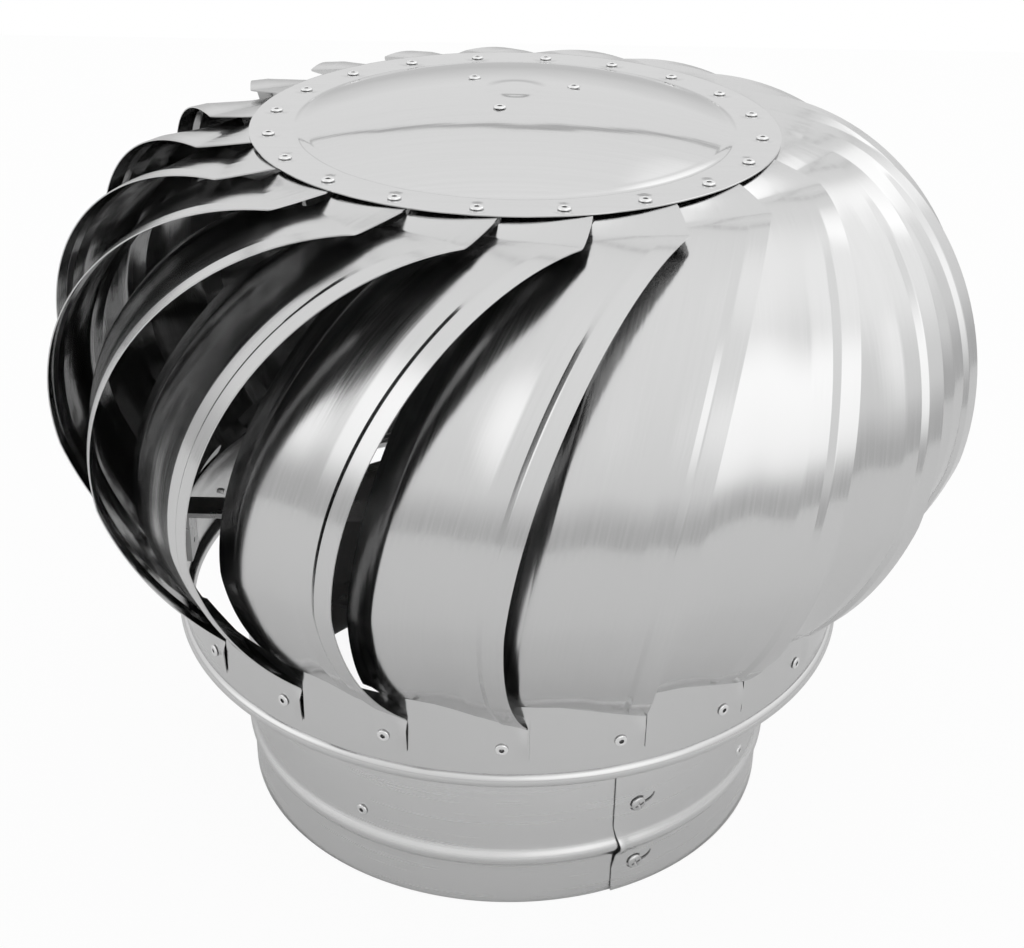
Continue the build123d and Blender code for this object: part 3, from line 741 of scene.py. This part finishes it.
blade_points, blade_marks = [], []
columns = len(insets)
foot_folds = []
tops = [step_at_reach(trim_reach(inset)) for inset in insets]
feet = [step_at_ring(inset) for inset in insets]
corner_step = step_at_reach(corner_reach)
rows = strip_rows + len(heel_rows)
for row in range(rows):
    for inset, top, foot in zip(insets, tops, feet):
        if row < strip_rows:
            step = top + (foot - heel_start / profile_step - top) * row / (strip_rows - 1)
        else:
            step = foot - heel_rows[row - strip_rows] / profile_step
        rise = panel_rise(inset, (step - corner_step) * profile_step, (foot - step) * profile_step)
        spot = blade_point(step, inset, -rise)
        blade_points.append(spot)
        blade_marks.append((inset * MM, step * profile_step * MM))
        if row == rows - 1:
            foot_folds.append((degrees(atan2(spot.x, -spot.y)), spot.z / MM))
for share in foot_rows[1:]:
    for column, inset in enumerate(insets):
        angle, height = foot_folds[column]
        flat_angle = foot_start + (foot_end - foot_start) * inset / strip_width
        settled = smooth(share, 0, foot_settle)
        turn = angle + (flat_angle - angle) * settled
        spring = foot_spring * (1 - smooth(inset, 0, spring_width)) * settled
        spring *= 1 - spring_ease * smooth(share, foot_settle, 1)
        blade_points.append(place(fold_radius + spring, turn,
                                  height + (foot_bottom - height) * share))
        blade_marks.append((inset * MM, (foot_grain[0] + foot_grain[1] * share) * MM))
blade_faces = grid_faces(columns, rows + len(foot_rows) - 1)
waist_column = insets.index(waist_inset)
top_columns = waist_column + 1
top_start = len(blade_points)
for share in top_shares[1:]:
    for column in range(top_columns):
        start = blade_points[column]
        turn = cap_tab_right + (cap_tab_left - cap_tab_right) * insets[column] / waist_inset
        end = place(cap_rim, turn, cap_tab_height - rim_drop * insets[column] / waist_inset)
        reach = (end - start).length * bend_softness
        leave = (start - blade_points[column + columns]).normalized() * reach
        arrive = (place(cap_tab_inner, turn, cap_tab_height) - end).normalized() * reach
        rest = 1 - share       # the bend leaves along the strip and arrives along the tab
        blade_points.append(start * (1 + 2 * share) * rest ** 2 + leave * share * rest ** 2
                            + end * share ** 2 * (1 + 2 * rest) - arrive * share ** 2 * rest)
        blade_marks.append((insets[column] * MM, top_grain * share * MM))
for radius in (cap_rim - cap_tab_row, cap_tab_inner):
    for column in range(top_columns):
        turn = cap_tab_right + (cap_tab_left - cap_tab_right) * insets[column] / waist_inset
        blade_points.append(place(radius, turn, cap_tab_height))
        blade_marks.append((insets[column] * MM, (top_grain - cap_rim + radius) * MM))
above = list(range(top_columns))
for row in range(len(top_shares) + 1):
    this = [top_start + row * top_columns + c for c in range(top_columns)]
    blade_faces += [(this[c], this[c + 1], above[c + 1], above[c]) for c in range(top_columns - 1)]
    above = this
blade = new_piece("louvre_blade", blade_points, blade_faces)
layer = blade.data.uv_layers.new(name="UVMap")
for loop in blade.data.loops:
    layer.data[loop.index].uv = blade_marks[loop.vertex_index]
front_faces = len(blade.data.polygons)
sheet = blade.modifiers.new("sheet", "SOLIDIFY")
sheet.thickness = blade_sheet * MM
sheet.offset = -1.0
sheet.use_even_offset = True
baked(blade)
sharpen(blade, 24)
# The faces marked here as the back get a darker copy of the blade sheet, which paints the shade
# seen between the blades and inside the head.
mark = blade.data.attributes.new("back", "BOOLEAN", "FACE")
for polygon in blade.data.polygons:
    mark.data[polygon.index].value = front_faces <= polygon.index < 2 * front_faces

blade_steel = steel("bright_blade_sheet", 0.64, 0.16, grain=(900, 14, 1), grain_depth=0.014,
                    wave_size=55, wave_depth=0.35, roughness_spread=0.04, by_uv=True)
# Painted shade: the backs are the front sheet made darker, not a duller finish, so that the gaps
# between the blades and the head's inside look dark.
blade_back = steel("blade_back_painted_shade", 0.36, 0.14, grain=(900, 14, 1), grain_depth=0.04,
                   wave_size=38, wave_depth=1.1, roughness_spread=0.03, by_uv=True)
blades = round_copies("louvre_blades", blade, blade_count, 0, blade_pitch, blade_steel,
                      back=blade_back)
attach(blades, "rotor")
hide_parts(*[f"blade_{number:02d}" for number in range(1, blade_count + 1)])


# ---- blade rivets --------------------------------------------------------------------------------
# One aluminium blind rivet holds each blade's foot to the ring.  It is set from outside, and its
# pin has snapped off in the eye.

foot_rivet_radius = 186.1
foot_rivet_height = 131.0
foot_rivet_angle = -0.5
foot_rivet_grip = 1.6
foot_rivet = rivet("foot_rivet", foot_rivet_grip)
lie_on_front(foot_rivet, foot_rivet_radius, foot_rivet_height)
foot_rivets = round_copies("foot_rivets", foot_rivet, blade_count, foot_rivet_angle, blade_pitch,
                           rivet_metal, back=pin_painted_shade)
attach(foot_rivets, "rotor")
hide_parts("ring_rivets")


# ---- cap -----------------------------------------------------------------------------------------
# A mirror-bright disc pressed with a flat flange, a small step, a low crown and a centre boss.  The
# flange is drawn down a little round each rivet.

cap_top = 381.0
cap_sheet = 0.8
cap_ease = 0.15                # of the rim's corners
step_outer, step_inner, step_rise = 112.6, 107.4, 1.5
crown_rise = 16.1
boss_radius, boss_rise, boss_blend = 13.0, 0.95, 5.0
cap_rivet_radius = 123.5
cap_rivet_angle = 28.34
dimple_radius, dimple_depth = 11.0, 0.7
dimple_floor = 2.5             # the flange is flat this close to a rivet
flange_start = step_outer - 2
crown_radius = (step_inner ** 2 + crown_rise ** 2) / (2 * crown_rise)
cap_columns = 360
cap_radii = [0.5, 4, 7, 9, 11, 13, 15, 17, 19, 22, *range(27, 102, 5)]
cap_radii += [104, 106, 107.5, 109, 110.5, 112, 113.5, 115, 116.5, 118, 119.5, 121, 122.3, 123.5,
              124.7, 126, 127.5, 129, 130.5, 132, 132.8, cap_rim]


def cap_skin(radius, angle):
    """Height of the cap's outside."""
    height = cap_top + step_rise * (1 - smooth(radius, step_inner, step_outer))
    inner = min(radius, step_inner)
    height += crown_rise - crown_radius + sqrt(crown_radius ** 2 - inner ** 2)
    height += boss_rise * (1 - smooth(radius, boss_radius - boss_blend, boss_radius + boss_blend))
    if radius > flange_start:
        turn = (angle - cap_rivet_angle + blade_pitch / 2) % blade_pitch - blade_pitch / 2
        away = hypot(radius - cap_rivet_radius, radians(turn) * cap_rivet_radius)
        height -= dimple_depth * (1 - smooth(away, dimple_floor, dimple_radius))
    return height


cap_points, cap_faces = [], []
for depth in (0.0, cap_sheet):
    for radius in cap_radii:
        edge = cap_ease if radius == cap_rim else 0.0
        for c in range(cap_columns):
            turn = 360 * c / cap_columns
            drop = depth + (edge if depth == 0 else -edge)
            cap_points.append(place(radius, turn, cap_skin(radius, turn) - drop))
under = len(cap_radii) * cap_columns
rim = under - cap_columns
for inner in range(0, rim, cap_columns):
    outer = inner + cap_columns
    for c in range(cap_columns):
        d = (c + 1) % cap_columns
        cap_faces.append((inner + c, outer + c, outer + d, inner + d))
        cap_faces.append([under + v for v in (inner + c, inner + d, outer + d, outer + c)])
for c in range(cap_columns):
    d = (c + 1) % cap_columns
    cap_faces.append((rim + c, rim + c + under, rim + d + under, rim + d))
cap_faces.append(tuple(range(cap_columns)))
cap_faces.append(tuple(under + c for c in reversed(range(cap_columns))))
cap = sharpen(face_outwards(new_piece("cap_disc", cap_points, cap_faces)), 50)
cap_steel = steel("mirror_cap_sheet", 0.67, 0.06, grain=(12, 700, 12), grain_depth=0.01,
                  wave_size=70, wave_depth=0.6, roughness_spread=0.02)
cap.data.materials.append(cap_steel)
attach(cap, "rotor")
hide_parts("cap")


# ---- cap rivets ----------------------------------------------------------------------------------
# Twenty aluminium blind rivets hold the blades' tops under the cap's flange.  Three more, near its
# centre, hold the cup of the upper bearing.

cap_rivet_grip = 1.5
hub_rivet_grip = 3.0
hub_rivet_count = 3
hub_rivet_radius = 30.0
hub_rivet_first = -15.0
rivet_seat = 0.05              # the heads' undersides lie this far above the cap

cap_rivet = rivet("cap_rivet", cap_rivet_grip)
cap_rivet.data.transform(Matrix.Translation((0, -cap_rivet_radius * MM, 0)))
cap_rivets = round_copies("cap_rivet_heads", cap_rivet, blade_count, cap_rivet_angle, blade_pitch,
                          rivet_metal, rise_first=cap_top - dimple_depth + rivet_seat,
                          back=pin_painted_shade)
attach(cap_rivets, "rotor")
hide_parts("cap_rivets")

hub_rivet = rivet("hub_rivet", hub_rivet_grip)
hub_rivet.data.transform(Matrix.Translation((0, -hub_rivet_radius * MM, 0)))
hub_rivets = round_copies("hub_rivet_heads", hub_rivet, hub_rivet_count, hub_rivet_first,
                          360 / hub_rivet_count, rivet_metal,
                          rise_first=cap_skin(hub_rivet_radius, 0) + rivet_seat, back=pin_painted_shade)
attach(hub_rivets, "rotor")
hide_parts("hub_rivets")


# ---- floor, light and camera ---------------------------------------------------------------------
# A plain pale floor, a pale room with a few brighter patches, two dark battens behind the object
# that its bright cap mirrors, one broad soft lamp and the camera.  Sizes here are in metres.

floor_size = 1.6
floor_drop = 0.0005
floor_tone, floor_roughness = 0.68, 0.6
floor_glow = 0.94              # share of plain white that the camera sees in place of the paint
camera_place = Vector((0, -0.8246, 0.6383))
camera_pitch = radians(29.14)
camera_yaw = radians(0.09)
camera_roll = radians(1.0)
focal_pixels = 1679.6
frame_width = 1024

floor_corners = [Vector((x * floor_size, y * floor_size, -floor_drop))
                 for x, y in ((-1, -1), (1, -1), (1, 1), (-1, 1))]
floor = new_piece("floor", floor_corners, [(0, 1, 2, 3)], flat=True)
floor_paint = bpy.data.materials.new("floor_paint")
floor_paint.use_nodes = True
nodes, links = floor_paint.node_tree.nodes, floor_paint.node_tree.links
paint = nodes["Principled BSDF"]
paint.inputs["Base Color"].default_value = (floor_tone, floor_tone, floor_tone, 1)
paint.inputs["Roughness"].default_value = floor_roughness
glow = nodes.new("ShaderNodeEmission")
glow.inputs["Color"].default_value = (1, 1, 1, 1)
rays = nodes.new("ShaderNodeLightPath")
share = nodes.new("ShaderNodeMath")
share.operation = "MULTIPLY"
share.inputs[1].default_value = floor_glow
blend = nodes.new("ShaderNodeMixShader")
links.new(rays.outputs["Is Camera Ray"], share.inputs[0])
links.new(share.outputs[0], blend.inputs["Fac"])
links.new(paint.outputs["BSDF"], blend.inputs[1])
links.new(glow.outputs["Emission"], blend.inputs[2])
links.new(blend.outputs["Shader"], nodes["Material Output"].inputs["Surface"])
floor.data.materials.append(floor_paint)

# The room's tone from straight down, 0, to straight up, 1.
room_tones = ((0.0, 0.70), (0.32, 0.66), (0.42, 0.57), (0.49, 0.60), (0.60, 0.90), (1.0, 1.05))
# Its brighter patches: azimuth, elevation, inner and outer half angle in degrees, and brightness.
glows = (
    (33, 33, 12, 34, 0.5),
    (105, 55, 15, 38, 0.2),
    (-82, 28, 8, 28, 0.5),
    (140, 40, 10, 19, 0.42),
)
world = bpy.data.worlds.new("studio")
bpy.context.scene.world = world
world.use_nodes = True
nodes, links = world.node_tree.nodes, world.node_tree.links
direction = nodes.new("ShaderNodeTexCoord")
parts = nodes.new("ShaderNodeSeparateXYZ")
height = nodes.new("ShaderNodeMapRange")
height.inputs["From Min"].default_value = -1.0
tones = nodes.new("ShaderNodeValToRGB")
while len(tones.color_ramp.elements) < len(room_tones):
    tones.color_ramp.elements.new(0.5)
for element, (at, tone) in zip(tones.color_ramp.elements, room_tones):
    element.position = at
    element.color = (tone, tone, tone, 1)
room = nodes["Background"]
backdrop = nodes.new("ShaderNodeBackground")
backdrop.inputs["Color"].default_value = (1, 1, 1, 1)
rays = nodes.new("ShaderNodeLightPath")
seen = nodes.new("ShaderNodeMath")
seen.operation = "MAXIMUM"
blend = nodes.new("ShaderNodeMixShader")
links.new(direction.outputs["Generated"], parts.inputs["Vector"])
links.new(parts.outputs["Z"], height.inputs["Value"])
links.new(height.outputs["Result"], tones.inputs["Fac"])
links.new(tones.outputs["Color"], room.inputs["Color"])
strength = None
for turn, rise, inner, outer, extra in glows:
    towards = place(1000, turn, 1000 * tan(radians(rise))).normalized()
    facing = nodes.new("ShaderNodeVectorMath")
    facing.operation = "DOT_PRODUCT"
    facing.inputs[1].default_value = towards
    links.new(direction.outputs["Generated"], facing.inputs[0])
    lobe = nodes.new("ShaderNodeMapRange")
    lobe.interpolation_type = "SMOOTHSTEP"
    lobe.inputs["From Min"].default_value = cos(radians(outer))
    lobe.inputs["From Max"].default_value = cos(radians(inner))
    lobe.inputs["To Max"].default_value = extra
    links.new(facing.outputs["Value"], lobe.inputs["Value"])
    total = nodes.new("ShaderNodeMath")
    total.operation = "ADD"
    total.inputs[1].default_value = 1.0
    links.new(lobe.outputs["Result"], total.inputs[0])
    if strength:
        links.new(strength, total.inputs[1])
    strength = total.outputs[0]
links.new(strength, room.inputs["Strength"])
links.new(rays.outputs["Is Camera Ray"], seen.inputs[0])
links.new(rays.outputs["Is Transmission Ray"], seen.inputs[1])
links.new(seen.outputs[0], blend.inputs["Fac"])
links.new(room.outputs["Background"], blend.inputs[1])
links.new(backdrop.outputs["Background"], blend.inputs[2])
links.new(blend.outputs["Shader"], nodes["World Output"].inputs["Surface"])


rail_distance = 3.0


def rail(name, stations, tone):
    """A dark bent batten behind the object, from (sideways, height, half thickness) stations.
    Only the object's reflections show it."""
    points = [Vector((x, rail_distance, z + half * way))
              for x, z, half in stations for way in (-1, 1)]
    faces = [(2 * i, 2 * i + 1, 2 * i + 3, 2 * i + 2) for i in range(len(stations) - 1)]
    board = new_piece(name, points, faces, flat=True)
    paint = bpy.data.materials.new(name)
    paint.use_nodes = True
    paint.node_tree.nodes.clear()
    glow = paint.node_tree.nodes.new("ShaderNodeEmission")
    glow.inputs["Color"].default_value = (tone, tone, tone, 1)
    out = paint.node_tree.nodes.new("ShaderNodeOutputMaterial")
    paint.node_tree.links.new(glow.outputs[0], out.inputs["Surface"])
    board.data.materials.append(paint)
    for ray in ("visible_camera", "visible_diffuse", "visible_shadow", "visible_transmission"):
        setattr(board, ray, False)


rail("back_rail", (
    (-2.2, 2.12, 0.01), (-2.0, 2.03, 0.07), (-1.7, 1.86, 0.12), (-1.4, 1.62, 0.12),
    (-1.33, 1.55, 0.05), (-1.0, 1.97, 0.06), (-0.7, 2.2, 0.06), (-0.35, 2.36, 0.07),
    (0.0, 2.42, 0.08), (0.35, 2.36, 0.08), (0.7, 2.2, 0.07), (1.05, 1.92, 0.06),
    (1.4, 1.54, 0.06), (1.7, 1.12, 0.07), (1.9, 0.95, 0.02)), 0.55)
rail("back_shade", (
    (1.9, 1.72, 0.01), (2.1, 1.8, 0.08), (2.3, 1.92, 0.12), (2.45, 2.05, 0.02)), 0.25)

lamp_place, lamp_target = Vector((0.3, -0.4, 2.4)), Vector((0, 0, 0.2))
lamp_data = bpy.data.lights.new("overhead_lamp", "AREA")
lamp_data.shape = "SQUARE"
lamp_data.size = 2.0
lamp_data.energy = 1.5
lamp = bpy.data.objects.new("overhead_lamp", lamp_data)
lamp.location = lamp_place
lamp.rotation_euler = (lamp_target - lamp_place).to_track_quat("-Z", "Y").to_euler()
lamp.visible_glossy = False
bpy.context.scene.collection.objects.link(lamp)

camera_data = bpy.data.cameras.new("camera")
camera_data.sensor_fit = "HORIZONTAL"
camera_data.sensor_width = 36.0
camera_data.lens = focal_pixels * camera_data.sensor_width / frame_width
camera_data.clip_start = 0.01
camera = bpy.data.objects.new("camera", camera_data)
bpy.context.scene.collection.objects.link(camera)
forward = Vector((sin(camera_yaw) * cos(camera_pitch), cos(camera_yaw) * cos(camera_pitch),
                  -sin(camera_pitch)))
level = forward.cross(Vector((0, 0, 1))).normalized()
upright = level.cross(forward)
side = level * cos(camera_roll) + upright * sin(camera_roll)
up = upright * cos(camera_roll) - level * sin(camera_roll)
camera.matrix_world = Matrix((
    (side.x, up.x, -forward.x, camera_place.x),
    (side.y, up.y, -forward.y, camera_place.y),
    (side.z, up.z, -forward.z, camera_place.z),
    (0, 0, 0, 1)))
bpy.context.scene.camera = camera

bpy.context.scene.view_settings.view_transform = "Standard"
